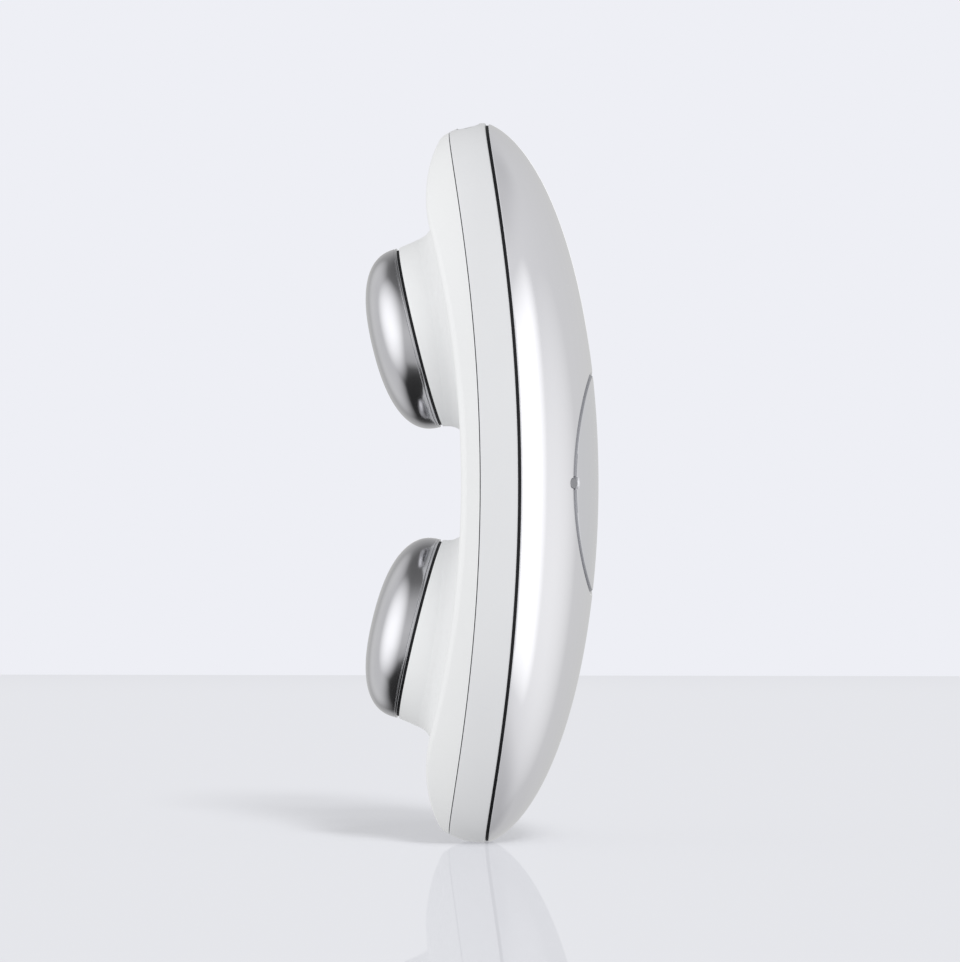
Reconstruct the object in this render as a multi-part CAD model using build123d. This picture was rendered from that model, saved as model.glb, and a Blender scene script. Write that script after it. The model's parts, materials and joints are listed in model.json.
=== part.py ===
from build123d import *
from math import acos, atan2, cos, pi, radians, sin, sqrt, tan
import os

# Hand-held facial toning device, standing on its lower end, in millimetres.
# +Z runs up the long axis, +X towards the glossy front and its round button,
# -X towards the two metal electrode domes, and Y across the body.
# The origin is the middle of the small flat that the device stands on.
# Heights named "up" below are measured from the middle of the body, not from the floor.

# ---- Overall size -------------------------------------------------------------------
stand_height = 116.0        # lower end flat to the upper tip
body_width = 60.0           # across the side band at mid height
stand_flat_depth = 0.3      # taken off the lower tip to give the flat it stands on

# ---- Outer form ---------------------------------------------------------------------
seam_mid_x = 8.1            # front seam at mid height
seam_tip_x = 1.45           # front seam at the tips
seam_gap = 0.5              # open joint between front cover and side band
band_depth = 6.1            # front seam to back seam, across the bow
back_line_gap = 0.15        # hairline joint between side band and back cover
dome_x = -1.05              # middle of the ellipsoid that shapes the front
dome_depth = 20.5           # its half depth
end_crown_r = 13.0          # how the side wall rounds towards the back, at the tips
side_crown_r = 40.0         # and at the sides
back_mid_x = -1.15          # back face at the waist
saddle_r = 150.0            # long hollow of the back face
back_end_r = 25.0           # rounded ends of the back face
back_end_drop = 2.0         # this far from the tip, the rounded end
back_end_depth = 1.28       # lies this far behind the back seam

# ---- Walls and lips -----------------------------------------------------------------
cover_wall = 2.0
band_wall = 2.2
back_wall = 1.8
lip_gap = 0.15              # between a cover's lip and the inside of the band
lip_wall = 1.2
front_lip_length = 2.0      # into the band
back_lip_length = 1.6
front_lip_root = 2.0        # how far a lip runs on into its cover's wall
back_lip_root = 0.5
back_edge_r = 1.1           # rounded edge of the back face
gasket_recess = 0.5         # gasket lies this far below the surface
gasket_slack = 0.02

# ---- Electrodes and their posts -----------------------------------------------------
electrode_r = 14.85
electrode_height = 7.55
electrode_wall = 1.4
electrode_roundness = 2.5   # exponent of the dome's superellipse
electrode_points = 12       # points on its half outline
post_up = 23.6              # post centres above and below the middle
post_rise = 6.1             # back face to the middle of the rim
post_tilt = 13.7            # degrees that each post leans towards the waist
post_flare = 10.0           # degrees
post_root_r = 3.6           # fillet into the back face
post_wall = 1.8
post_top = 2.0
seal_height = 0.45
seal_inset = 0.35
seal_width = 1.5
stud_r = 1.5
stud_boss_r = 3.5
stud_end = 0.6              # stud left beyond its nut
stud_clearance = 0.15
nut_across = 5.5
nut_height = 2.4
terminal_height = 0.3
terminal_r = 3.2
terminal_tab = 6.4          # stud to the end of the tab
terminal_tab_width = 2.2
lead_r = 0.5
lead_hole_gap = 0.5         # in the frame, around a lead
lead_bend = 1.6
lead_rise = 3.0             # straight stretch off the terminal
lead_pad_y = -10.0          # where the leads reach the main board
lead_pad_up = 25.5
lead_turn_x = 1.5

# ---- Button and its switch ----------------------------------------------------------
button_r = 17.5
button_gap = 0.4
button_travel = 0.5
button_room = 3.6           # main board to the button's flange
button_skirt = 1.2
button_flange = 1.4         # flange beyond the skirt, below the collar
button_flange_height = 1.2
button_boss_r = 2.5
collar_wall = 1.4
collar_gap = 0.05           # collar to flange at rest
bumper_r = 1.5
bumper_angle = 35.0         # degrees from the long axis
bumper_gap = 0.6            # flange to bumper at rest
pipe_width = 2.4            # light pipe along Y
pipe_height = 1.6           # along Z
pipe_recess = 0.1
pipe_glue_gap = 0.05
pipe_key_gap = 0.25         # to the button, which it keeps from turning
switch_side = 6.0
switch_corner = 0.5
switch_height = 2.7
stem_r = 1.7
stem_gap = 0.1
stem_out = 0.5              # stem beyond the switch body
stem_in = 1.9               # stem inside it
switch_floor = 0.3
button_slack = 0.05         # stem to button boss

# ---- Stack between back face and front, along X -------------------------------------
battery_clearance = 0.15
battery_depth = 3.8
battery_width = 28.0
battery_length = 29.0
battery_corner = 1.2
pad_depth = 0.3
pad_margin = 3.0
frame_depth = 1.0
board_lift = 0.6
board_depth = 0.8

frame_inset = 4.6           # frame edge to the outside of the band
frame_end_inset = 18.15     # end of the frame's wide part to the tip
frame_tail_width = 16.0     # narrow part that carries the charge board
frame_tail_corner = 3.0
frame_tail_margin = 3.3     # the charge board's upper edge runs this far beyond it
frame_boss_side = 7.7       # boss to the outside of the band
frame_boss_up = 18.0
frame_boss_r = 2.6
frame_screw_r = 0.8
frame_screw_length = 4.4
frame_screw_head_r = 1.6
frame_screw_head = 1.0
screw_clearance = 0.2
thread_clearance = 0.02
pilot_spare = 0.6

board_side_gap = 0.4        # board to the frame bosses
board_end_inset = 6.0       # end of the board to the end of the frame
board_corner = 12.0
board_screw_side = 5.3      # screw to the side of the board
board_screw_end = 5.0       # screw to the end of the board
board_post_r = 1.7
board_screw_r = 0.6
board_screw_head_r = 1.2
board_screw_head = 0.8

# ---- Parts on the main board: Y, up, width, length, height --------------------------
controller_place = (8.0, 8.5)
controller_size = (7.0, 7.0, 0.9)
inductor_place = (-8.5, -8.5)
inductor_size = (6.2, 6.2, 2.0)
inductor_corner = 1.0
capacitor_end = 9.5         # capacitors to the end of the board
capacitor_pitch = 5.5
capacitor_count = 4
capacitor_size = (1.8, 3.4, 1.3)
led_size = (1.2, 1.6, 0.6)
led_gap = 0.6               # light pipe to the LED
connector_gap = 5.5         # battery to connector
connector_size = (7.5, 5.0, 2.0)
window_margin = 1.2         # frame window around the connector
battery_lead_r = 0.45
battery_lead_slot_gap = 0.45
battery_lead_pitch = 3.0
battery_lead_bend = 0.9
battery_lead_x = 1.9        # above the battery's back face
battery_lead_run = 1.8      # straight stretch off the battery
battery_lead_end = 1.2      # and into the connector

# ---- Vibration motor ----------------------------------------------------------------
motor_end_inset = 3.0       # motor's axis to the end of the frame
motor_r = 2.0
motor_length = 8.0
motor_boot_length = 6.4
motor_boot_wall = 0.3
motor_boot_side = 0.6
shaft_r = 0.4
shaft_gap = 0.03
shaft_in = 6.0
shaft_end_gap = 0.5
shaft_out = 4.2
weight_r = 1.9
weight_length = 3.0
weight_gap = 0.8            # motor end to weight
weight_hub_r = 0.9
motor_lead_r = 0.35
motor_lead_hole_gap = 0.35
motor_lead_bend = 0.8
motor_lead_out = 2.4
motor_lead_pitch = 1.3

# ---- Charging socket and its board --------------------------------------------------
socket_x = -1.5
socket_width = 8.94
socket_height = 3.16
socket_length = 7.3
socket_sheet = 0.25
socket_recess = 1.85        # mouth below the body's tip
socket_hole_gap = 0.2
tongue_width = 6.7
tongue_height = 0.7
tongue_length = 4.5
tongue_slack = 0.05
socket_overlap = 1.8        # length of the socket that lies over its board
charge_board_width = 10.4
charge_board_length = 8.2
charge_board_depth = 0.8
charge_board_corner = 0.8
charge_screw_y = 3.6
charge_screw_end = 2.0      # screws to the board's lower edge
charge_post_r = 1.5
charge_screw_r = 0.6
charge_screw_head_r = 1.2
charge_screw_head = 0.7
charge_screw_length = 3.4
flex_width = 3.4
flex_depth = 0.2
flex_bend = 1.4
flex_drop = 5.2             # charge board to where the flex passes the frame
flex_overlap = 3.0          # soldered length on the main board
flex_slot_gap = 0.9

# ---- Worked-out places --------------------------------------------------------------
tip_half = (stand_height + stand_flat_depth) / 2
mid_z = stand_height - tip_half
half_width = body_width / 2
seam_rise = seam_mid_x - seam_tip_x
seam_r = (tip_half ** 2 + seam_rise ** 2) / (2 * seam_rise)
bow_x = seam_mid_x - seam_r                     # axis that both seams bow about
dome_half_height = tip_half / sqrt(1 - ((seam_tip_x - dome_x) / dome_depth) ** 2)
dome_half_width = half_width / sqrt(1 - ((seam_mid_x - dome_x) / dome_depth) ** 2)
back_seam_r = seam_r - band_depth
lip_outer = band_wall + lip_gap
lip_inner = lip_outer + lip_wall
front_x = dome_x + dome_depth
reach = 2 * dome_depth + saddle_r               # larger than the whole body
cut_spare = 1.0                                 # a cutter runs this far past what it cuts
same_place = 0.01                               # nearer than this counts as touching
corner_spare = 0.01                             # left flat at the middle of a fully rounded end

# The back face is a saddle arc with a rounded end arc tangent to each end of it. The end
# arc's centre lies back_end_r from the point where it has to pass, and on the circle that
# keeps it tangent, so it is where those two circles meet.
saddle_x = back_mid_x - saddle_r
end_centre_r = saddle_r + back_end_r
passed_up = tip_half - back_end_drop
passed_x = bow_x + sqrt(back_seam_r ** 2 - passed_up ** 2) - back_end_depth
passed_away = sqrt((passed_x - saddle_x) ** 2 + passed_up ** 2)
passed_angle = atan2(passed_up, passed_x - saddle_x)
side_angle = acos((end_centre_r ** 2 + passed_away ** 2 - back_end_r ** 2) / (2 * end_centre_r * passed_away))
saddle_angle = passed_angle - side_angle        # half the angle that the saddle arc spans
end_x = saddle_x + end_centre_r * cos(saddle_angle)
end_up = end_centre_r * sin(saddle_angle)

battery_back = back_mid_x + back_wall + battery_clearance
battery_front = battery_back + battery_depth
frame_back = battery_front + pad_depth
frame_front = frame_back + frame_depth
board_back = frame_front + board_lift
board_front = board_back + board_depth
switch_front = board_front + switch_height
stem_front = switch_front + stem_out
boss_back = stem_front + button_slack
flange_back = board_front + button_room
flange_front = flange_back + button_flange_height
collar_back = flange_front + collar_gap
flange_r = button_r + button_flange
post_foot_reach = electrode_r + post_root_r + tan(radians(post_flare)) * post_rise
hole_r = button_r + button_gap
collar_r = hole_r + collar_wall
pipe_y = -(button_r + button_gap / 2)
led_front = board_front + led_size[2]

frame_half = tip_half - frame_end_inset
frame_boss_y = half_width - frame_boss_side
board_half_width = frame_boss_y - frame_boss_r - board_side_gap
board_half_length = frame_half - board_end_inset
board_screw_y = board_half_width - board_screw_side
board_screw_up = board_half_length - board_screw_end
capacitor_up = board_half_length - capacitor_end
connector_up = -(battery_length / 2 + connector_gap + connector_size[1] / 2)
motor_up = motor_end_inset - frame_half
motor_x = frame_back - motor_boot_wall - motor_r

socket_mouth = tip_half - socket_recess
socket_low = socket_mouth - socket_length
charge_board_high = socket_low + socket_overlap
charge_board_low = charge_board_high - charge_board_length
charge_board_front = socket_x - socket_height / 2
charge_board_back = charge_board_front - charge_board_depth
charge_screw_up = charge_board_low + charge_screw_end
frame_tail_up = charge_board_high - frame_tail_margin
flex_up = charge_board_low - flex_drop

outline_points = 20
side_wall_planes = (front_x, seam_tip_x, -2.0, -5.2, -8.5)


# ---- Shared forms -------------------------------------------------------------------
def seam_x(up):
    """X of the front seam at a height above the middle."""
    return bow_x + sqrt(seam_r ** 2 - up ** 2)


def outline_y(up):
    """Half width of the body where the front ellipsoid meets the front seam."""
    share = 1 - (up / dome_half_height) ** 2 - ((seam_x(up) - dome_x) / dome_depth) ** 2
    return dome_half_width * sqrt(max(0.0, share))


def crown_drop(radius, depth):
    """How far a crowned wall has fallen away at a depth behind the seam's tip."""
    return radius - sqrt(radius ** 2 - depth ** 2)


def outline(x, inset=0.0):
    """Closed outline of the side wall in the plane at x, moved inwards by inset."""
    depth = max(0.0, seam_tip_x - x)
    tall = (tip_half - crown_drop(end_crown_r, depth) - inset) / tip_half
    wide = (half_width - crown_drop(side_crown_r, depth) - inset) / half_width
    points = []
    for step in range(outline_points):
        turn = 2 * pi * step / outline_points
        up = tip_half * cos(turn)
        side = outline_y(up) if sin(turn) > 0 else -outline_y(up)
        points.append(Vector(x, side * wide, mid_z + up * tall))
    evenly = [step / outline_points for step in range(outline_points + 1)]
    return Wire([Edge.make_spline(points, periodic=True, parameters=evenly)])


def side_form(inset=0.0):
    """Solid bounded by the side wall, crowned towards the back."""
    return Solid.make_loft([outline(x, inset) for x in side_wall_planes])


def core_form(inset):
    """Simpler solid for the inside: straight behind the front, tapered to the back."""
    planes = (side_wall_planes[0], seam_tip_x, side_wall_planes[-1])
    return Solid.make_loft([outline(x, inset) for x in planes], ruled=True)


def drum(radius, x=bow_x):
    """Solid cylinder across the body, whose front is a surface bowed like the seam."""
    return Pos(x, 0, mid_z) * Rot(90, 0, 0) * Cylinder(radius, 3 * half_width)


def dome(wall=0.0):
    """Ellipsoid of the front cover, moved inwards by wall."""
    ball = Rot(0, 0, 180) * Sphere(1)
    size = (dome_depth - wall, dome_half_width - wall, dome_half_height - wall)
    return Pos(dome_x, 0, mid_z) * scale(ball, by=size)


def back_cutter(offset=0.0):
    """Everything behind the back face: a long saddle between two rounded ends."""
    hollow = saddle_r + offset
    end_r = back_end_r - offset
    half_angle = saddle_angle / 2
    far = saddle_x - back_end_r
    join = (saddle_x + hollow * cos(saddle_angle), hollow * sin(saddle_angle))
    side = (end_x - end_r, end_up)
    top = (end_x, end_up + end_r)
    edge_up = ThreePointArc(join, (end_x - end_r * cos(half_angle), end_up - end_r * sin(half_angle)), side)
    edge_top = ThreePointArc(side, (end_x - end_r * sqrt(0.5), end_up + end_r * sqrt(0.5)), top)
    saddle = ThreePointArc((join[0], -join[1]), (saddle_x + hollow, 0), join)
    rim = Line(top, (far, top[1]))
    spine = Line((far, top[1]), (far, -top[1]))
    lower = [mirror(line, about=Plane.XZ) for line in (edge_up, edge_top, rim)]
    face = make_face([saddle, edge_up, edge_top, rim, spine] + lower)
    block = extrude(Plane.XZ * face, amount=2 * half_width, both=True)
    return Pos(0, 0, mid_z) * block


def rod(x_low, x_high, radius, y=0.0, up=0.0):
    """Round bar along X."""
    place = Plane(origin=(x_low, y, mid_z + up), z_dir=(1, 0, 0))
    return Solid.make_cylinder(radius, x_high - x_low, place)


def block(x_low, x_high, width, length, y=0.0, up=0.0, corner=0.0):
    """Block along X with a rectangular outline in Y and Z."""
    sketch = Rectangle(width, length) if corner == 0 else RectangleRounded(width, length, corner)
    place = Plane(origin=(x_low, y, mid_z + up), x_dir=(0, 1, 0), z_dir=(1, 0, 0))
    return extrude(place * sketch, amount=x_high - x_low)


def post_plane(side, depth=0.0):
    """Plane of an electrode's rim, Z outwards, moved into the body by depth."""
    rim_x = saddle_x + sqrt(saddle_r ** 2 - post_up ** 2) - post_rise
    outwards = Vector(-cos(radians(post_tilt)), 0, -side * sin(radians(post_tilt)))
    rim = Vector(rim_x, 0, mid_z + side * post_up)
    return Plane(origin=rim - outwards * depth, x_dir=(0, 1, 0), z_dir=outwards)


def slot_sketch(width, height):
    """Outline with fully rounded ends."""
    return RectangleRounded(width, height, height / 2 - corner_spare)


def wire(points, radius, bend):
    """Round lead along straight runs joined by arcs."""
    path = FilletPolyline(*points, radius=bend)
    section = Plane(origin=path @ 0, z_dir=path % 0) * Circle(radius)
    return sweep(section, path=path)


def four(y, up):
    """The four places at plus and minus y and up."""
    return [(side_y * y, side_up * up) for side_y in (-1, 1) for side_up in (-1, 1)]


# ---- Housing ------------------------------------------------------------------------
def socket_room(gap):
    """Rounded slot along Z around the charging socket."""
    place = Plane(origin=(socket_x, 0, mid_z + charge_board_low), x_dir=(0, 1, 0), z_dir=(0, 0, 1))
    return extrude(place * slot_sketch(socket_width + 2 * gap, socket_height + 2 * gap), amount=tip_half)


def above_floor():
    """Everything over the surface that the device stands on."""
    return Pos(0, 0, stand_height) * Box(reach, reach, 2 * stand_height)


def side_band():
    front_r = seam_r - seam_gap / 2
    solid = (side_form() & drum(front_r)) - drum(back_seam_r) - core_form(band_wall)
    return (solid - socket_room(socket_hole_gap)) & above_floor()


def front_lip():
    """Ring of the front cover that sits inside the band."""
    ring = core_form(lip_outer) - core_form(lip_inner)
    return (ring & drum(seam_r + front_lip_root)) - drum(seam_r - front_lip_length)


def front_cover():
    seam_face = seam_r + seam_gap / 2
    shell = dome() - dome(cover_wall) - drum(seam_face)
    cover = shell + front_lip()
    bosses = [rod(frame_front, front_x, frame_boss_r, y, up) for y, up in four(frame_boss_y, frame_boss_up)]
    collar = rod(collar_back, front_x, collar_r)
    cover = cover + [boss & dome(cover_wall / 2) for boss in bosses + [collar]]
    cover = cover - rod(collar_back - cut_spare, front_x + cut_spare, hole_r)
    pilot_front = frame_back + frame_screw_length + pilot_spare
    for y, up in four(frame_boss_y, frame_boss_up):
        cover = cover - rod(frame_front - cut_spare, pilot_front, frame_screw_r + thread_clearance, y, up)
    cover = cover - light_pipe_form(pipe_glue_gap) - socket_room(socket_hole_gap)
    return cover & above_floor()


def front_gasket():
    ring = core_form(gasket_recess) - core_form(lip_outer - lip_gap / 2)
    half = seam_gap / 2 - gasket_slack
    return ((ring & drum(seam_r + half)) - drum(seam_r - half)) & above_floor()


def back_cover():
    seam_face = back_seam_r - back_line_gap
    cover = (side_form() & drum(seam_face)) - back_cutter()
    for side in (1, -1):
        length = 2 * post_rise
        foot_r = electrode_r + length * tan(radians(post_flare))
        post = Solid.make_cone(foot_r, electrode_r, length, post_plane(side, length))
        cover = cover + (post & drum(seam_face))
    roots = [edge for edge in cover.edges() if on_back_face(edge) and goes_round_post(edge)]
    cover = fillet(roots, post_root_r)
    rim = [edge for edge in cover.edges() if on_back_face(edge) and not goes_round_post(edge)]
    cover = fillet(rim, back_edge_r)
    cover = cover - (core_form(lip_inner) - back_cutter(back_wall))
    for side in (1, -1):
        cover = cover - post_hollow(side) - stud_hole(side)
    lip = (core_form(lip_outer) - core_form(lip_inner)) & drum(back_seam_r + back_lip_length)
    return (cover + (lip - drum(seam_face - back_lip_root))) - socket_room(socket_hole_gap)


def on_back_face(edge):
    """True where an edge lies on the saddle or on the rounded ends of the back face."""
    for place in (edge @ 0.15, edge @ 0.4, edge @ 0.7):
        up = abs(place.Z - mid_z)
        on_saddle = abs(sqrt((place.X - saddle_x) ** 2 + up ** 2) - saddle_r) < same_place
        on_end = abs(sqrt((place.X - end_x) ** 2 + (up - end_up) ** 2) - back_end_r) < same_place
        if not on_saddle and not on_end:
            return False
    return not is_across(edge)


def is_across(edge):
    """True for a straight edge along Y, where the saddle runs into a rounded end."""
    return abs((edge % 0.5).Y) > 0.999


def goes_round_post(edge):
    """True where an edge stays near the axis of one of the two posts."""
    for place in (edge @ 0.0, edge @ 0.3, edge @ 0.6):
        if sqrt(place.Y ** 2 + (abs(place.Z - mid_z) - post_up) ** 2) > post_foot_reach:
            return False
    return True


def post_hollow(side):
    """Inside of a post, open to the body."""
    length = 3 * post_rise
    depth = length - post_top
    top_r = electrode_r - post_wall
    cone = Solid.make_cone(top_r + depth * tan(radians(post_flare)), top_r, depth, post_plane(side, length))
    return cone & core_form(lip_inner)


def stud_hole(side):
    return Solid.make_cylinder(stud_r + stud_clearance, 2 * post_top, post_plane(side, 1.5 * post_top))


# ---- Button, light pipe and switch --------------------------------------------------
def light_pipe_form(gap):
    """Oval bar through the cover at the edge of the button."""
    place = Plane(origin=(led_front + led_gap - gap, pipe_y, mid_z), x_dir=(0, 1, 0), z_dir=(1, 0, 0))
    return extrude(place * slot_sketch(pipe_width + 2 * gap, pipe_height + 2 * gap), amount=front_x)


def status_light_pipe():
    return light_pipe_form(0) & dome(pipe_recess)


def front_button():
    disc = (dome() - dome(cover_wall)) & rod(0, front_x + cut_spare, button_r)
    bore = rod(flange_back - cut_spare, front_x + cut_spare, button_r - button_skirt)
    skirt = rod(flange_back, front_x, button_r) - bore
    flange = rod(flange_back, flange_front, flange_r) - bore
    boss = rod(boss_back, front_x, button_boss_r)
    inside = dome(cover_wall / 2)
    button = disc + (skirt & inside) + flange + (boss & inside)
    return button - light_pipe_form(pipe_key_gap)


def button_bumpers():
    top = flange_back - bumper_gap
    ring_r = (button_r - button_skirt + flange_r) / 2
    y = ring_r * sin(radians(bumper_angle))
    up = ring_r * cos(radians(bumper_angle))
    return [rod(board_front, top, bumper_r, *place) for place in four(y, up)]


def switch_body():
    body = block(board_front, switch_front, switch_side, switch_side, corner=switch_corner)
    well_back = switch_front - stem_in - button_travel - switch_floor
    return body - rod(well_back, switch_front + cut_spare, stem_r + stem_gap)


def switch_stem():
    return rod(switch_front - stem_in, stem_front, stem_r)


# ---- Frame, board and what sits on it -----------------------------------------------
def inner_frame():
    oval = Solid.extrude(Face(outline(frame_back, frame_inset)), Vector(frame_depth, 0, 0))
    wide = Pos(0, 0, mid_z) * Box(reach, body_width, 2 * frame_half)
    tail = block(frame_back, frame_front, frame_tail_width, frame_tail_up, up=frame_tail_up / 2,
                 corner=frame_tail_corner)
    frame = (oval & wide) + tail
    for place in four(board_screw_y, board_screw_up):
        frame = frame + rod(frame_front, board_back, board_post_r, *place)
    for y in (-charge_screw_y, charge_screw_y):
        frame = frame + rod(charge_board_front, frame_back, charge_post_r, y, charge_screw_up)
    cut_back = frame_back - cut_spare
    cut_front = frame_front + cut_spare
    for place in four(frame_boss_y, frame_boss_up):
        frame = frame - rod(cut_back, cut_front, frame_screw_r + screw_clearance, *place)
    for place in four(board_screw_y, board_screw_up):
        frame = frame - rod(cut_back, board_back + cut_spare, board_screw_r + thread_clearance, *place)
    for y in (-charge_screw_y, charge_screw_y):
        pilot = rod(charge_board_front - cut_spare, charge_board_back + charge_screw_length + pilot_spare,
                    charge_screw_r + thread_clearance, y, charge_screw_up)
        frame = frame - pilot
    width, length = connector_size[:2]
    window = block(cut_back, cut_front, width + 2 * window_margin, length + 2 * window_margin,
                   up=connector_up)
    slot_width = battery_lead_pitch + 2 * (battery_lead_r + battery_lead_slot_gap)
    lead_slot = block(cut_back, cut_front, slot_width, length, up=connector_up + length)
    flex_slot = block(cut_back, cut_front, flex_width + 2 * flex_slot_gap, 2 * (flex_bend + flex_slot_gap),
                      up=flex_up)
    frame = frame - window - lead_slot - flex_slot
    for side in (1, -1):
        frame = frame - rod(cut_back, cut_front, lead_r + lead_hole_gap, lead_pad_y, side * lead_pad_up)
    for y in motor_lead_turns():
        frame = frame - rod(cut_back, cut_front, motor_lead_r + motor_lead_hole_gap, y, motor_up)
    return frame


def main_board():
    board = block(board_back, board_front, 2 * board_half_width, 2 * board_half_length, corner=board_corner)
    for place in four(board_screw_y, board_screw_up):
        board = board - rod(board_back - cut_spare, board_front + cut_spare,
                            board_screw_r + screw_clearance, *place)
    return board


def on_board(place, size):
    """Component on the front of the main board."""
    width, length, height = size
    return block(board_front, board_front + height, width, length, *place)


def microcontroller():
    return on_board(controller_place, controller_size)


def boost_inductor():
    width, length, height = inductor_size
    return block(board_front, board_front + height, width, length, *inductor_place, corner=inductor_corner)


def board_capacitors():
    first = -capacitor_pitch * (capacitor_count - 1) / 2
    return [on_board((first + capacitor_pitch * step, capacitor_up), capacitor_size)
            for step in range(capacitor_count)]


def status_led():
    return on_board((pipe_y + led_size[0] / 2, 0), led_size)


def battery_connector():
    width, length, height = connector_size
    return block(board_back - height, board_back, width, length, up=connector_up)


def battery():
    return block(battery_back, battery_front, battery_width, battery_length, corner=battery_corner)


def battery_pad():
    return block(battery_front, frame_back, battery_width - 2 * pad_margin, battery_length - 2 * pad_margin)


def battery_leads():
    x_low = battery_back + battery_lead_x
    x_high = board_back - connector_size[2] / 2
    up_high = -battery_length / 2
    up_low = connector_up + connector_size[1] / 2
    turn = up_high - battery_lead_run
    leads = []
    for y in (-battery_lead_pitch / 2, battery_lead_pitch / 2):
        route = [(x_low, y, mid_z + up_high), (x_low, y, mid_z + turn),
                 (x_high, y, mid_z + up_low + battery_lead_end), (x_high, y, mid_z + up_low)]
        leads.append(wire(route, battery_lead_r, battery_lead_bend))
    return leads


# ---- Vibration motor ----------------------------------------------------------------
def bar_along_y(y_low, y_high, radius):
    """Round bar on the motor's axis."""
    place = Plane(origin=(motor_x, y_low, mid_z + motor_up), z_dir=(0, 1, 0))
    return Solid.make_cylinder(radius, y_high - y_low, place)


def vibration_motor():
    half = motor_length / 2
    bore = bar_along_y(half - shaft_in - shaft_end_gap, half + cut_spare, shaft_r + shaft_gap)
    return bar_along_y(-half, half, motor_r) - bore


def motor_boot():
    back_x = motor_x - motor_r / 2
    length = 2 * (motor_r + motor_boot_side)
    boot = block(back_x, frame_back, motor_boot_length, length, up=motor_up)
    return boot - bar_along_y(-motor_length, motor_length, motor_r)


def motor_weight():
    half = motor_length / 2
    shaft = bar_along_y(half - shaft_in, half + shaft_out, shaft_r)
    low = half + weight_gap
    lump = bar_along_y(low, low + weight_length, weight_r)
    lower = Pos(motor_x - weight_r, 0, mid_z + motor_up) * Box(2 * weight_r, body_width, 4 * weight_r)
    return shaft + bar_along_y(low, low + weight_length, weight_hub_r) + (lump & lower)


def motor_lead_turns():
    """Y of the two motor leads where they pass the frame."""
    first = -motor_length / 2 - motor_lead_out
    return [first, first - motor_lead_pitch]


def motor_leads():
    leads = []
    x_front = (board_back + board_front) / 2
    for y, x_out in zip(motor_lead_turns(), (motor_x + motor_r / 2, motor_x - motor_r / 2)):
        route = [(x_out, -motor_length / 2, mid_z + motor_up), (x_out, y, mid_z + motor_up),
                 (x_front, y, mid_z + motor_up), (x_front, y, mid_z - board_half_length)]
        leads.append(wire(route, motor_lead_r, motor_lead_bend))
    return leads


# ---- Charging socket ----------------------------------------------------------------
def charge_board():
    middle = (charge_board_low + charge_board_high) / 2
    board = block(charge_board_back, charge_board_front, charge_board_width,
                  charge_board_length, up=middle, corner=charge_board_corner)
    for y in (-charge_screw_y, charge_screw_y):
        board = board - rod(charge_board_back - cut_spare, charge_board_front + cut_spare,
                            charge_screw_r + screw_clearance, y, charge_screw_up)
    return board


def socket_bar(width, height, low, high):
    """Rounded bar along Z on the socket's axis."""
    place = Plane(origin=(socket_x, 0, mid_z + low), x_dir=(0, 1, 0), z_dir=(0, 0, 1))
    return extrude(place * slot_sketch(width, height), amount=high - low)


def charge_socket_shell():
    outside = socket_bar(socket_width, socket_height, socket_low, socket_mouth)
    inside = socket_bar(socket_width - 2 * socket_sheet, socket_height - 2 * socket_sheet,
                        socket_low + socket_sheet, socket_mouth + cut_spare)
    return outside - inside


def charge_socket_tongue():
    low = socket_low + socket_sheet + tongue_slack
    base_high = socket_mouth - tongue_length - tongue_height
    inset = 2 * (socket_sheet + tongue_slack)
    base = socket_bar(socket_width - inset, socket_height - inset, low, base_high)
    high = socket_mouth - tongue_height
    blade = Box(tongue_height, tongue_width, high - base_high)
    return base + Pos(socket_x, 0, mid_z + (base_high + high) / 2) * blade


def charge_flex():
    x_start = charge_board_front + flex_depth / 2
    x_end = board_front + flex_depth / 2
    start_up = charge_screw_up + charge_post_r / 2
    end_up = board_half_length - flex_overlap
    half = flex_width / 2
    route = [(x_start, -half, mid_z + start_up), (x_start, -half, mid_z + flex_up + 2 * flex_bend),
             (x_start + 3 * flex_bend, -half, mid_z + flex_up), (x_end, -half, mid_z + flex_up),
             (x_end, -half, mid_z + end_up)]
    line = FilletPolyline(*route, radius=flex_bend)
    across = Plane(origin=line @ 0, x_dir=(0, 1, 0), z_dir=line % 0)
    return sweep(across * Pos(half, 0) * Rectangle(flex_width, flex_depth), path=line)


# ---- Electrodes ---------------------------------------------------------------------
def dome_profile(radius, height):
    """Half outline of a dome: a superellipse from its top to its rim."""
    points = []
    share = 2 / electrode_roundness
    for step in range(electrode_points + 1):
        turn = pi / 2 * step / electrode_points
        points.append((radius * sin(turn) ** share, height * cos(turn) ** share))
    points[0] = (0, height)
    points[-1] = (radius, 0)
    return Spline(*points, tangents=[(1, 0), (0, -1)])


def turned_dome(radius, height):
    """Solid dome on the XY plane."""
    curve = dome_profile(radius, height)
    face = make_face([curve, Line((radius, 0), (0, 0)), Line((0, 0), (0, height))])
    return revolve(Plane.XZ * face, axis=Axis.Z)


def electrode(side):
    stud_length = seal_height + post_top + terminal_height + nut_height + stud_end
    outside = turned_dome(electrode_r, electrode_height)
    inside = turned_dome(electrode_r - electrode_wall, electrode_height - electrode_wall)
    boss = Pos(0, 0, electrode_height / 2) * Cylinder(stud_boss_r, electrode_height)
    stud = Pos(0, 0, -stud_length / 2 + electrode_wall / 2) * Cylinder(stud_r, stud_length + electrode_wall)
    shell = (outside - inside) + (boss & outside) + stud
    return post_plane(side, -seal_height).location * shell


def electrode_seal(side):
    outer = electrode_r - seal_inset
    ring = Cylinder(outer, seal_height) - Cylinder(outer - seal_width, seal_height)
    return post_plane(side, -seal_height / 2).location * ring


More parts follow.
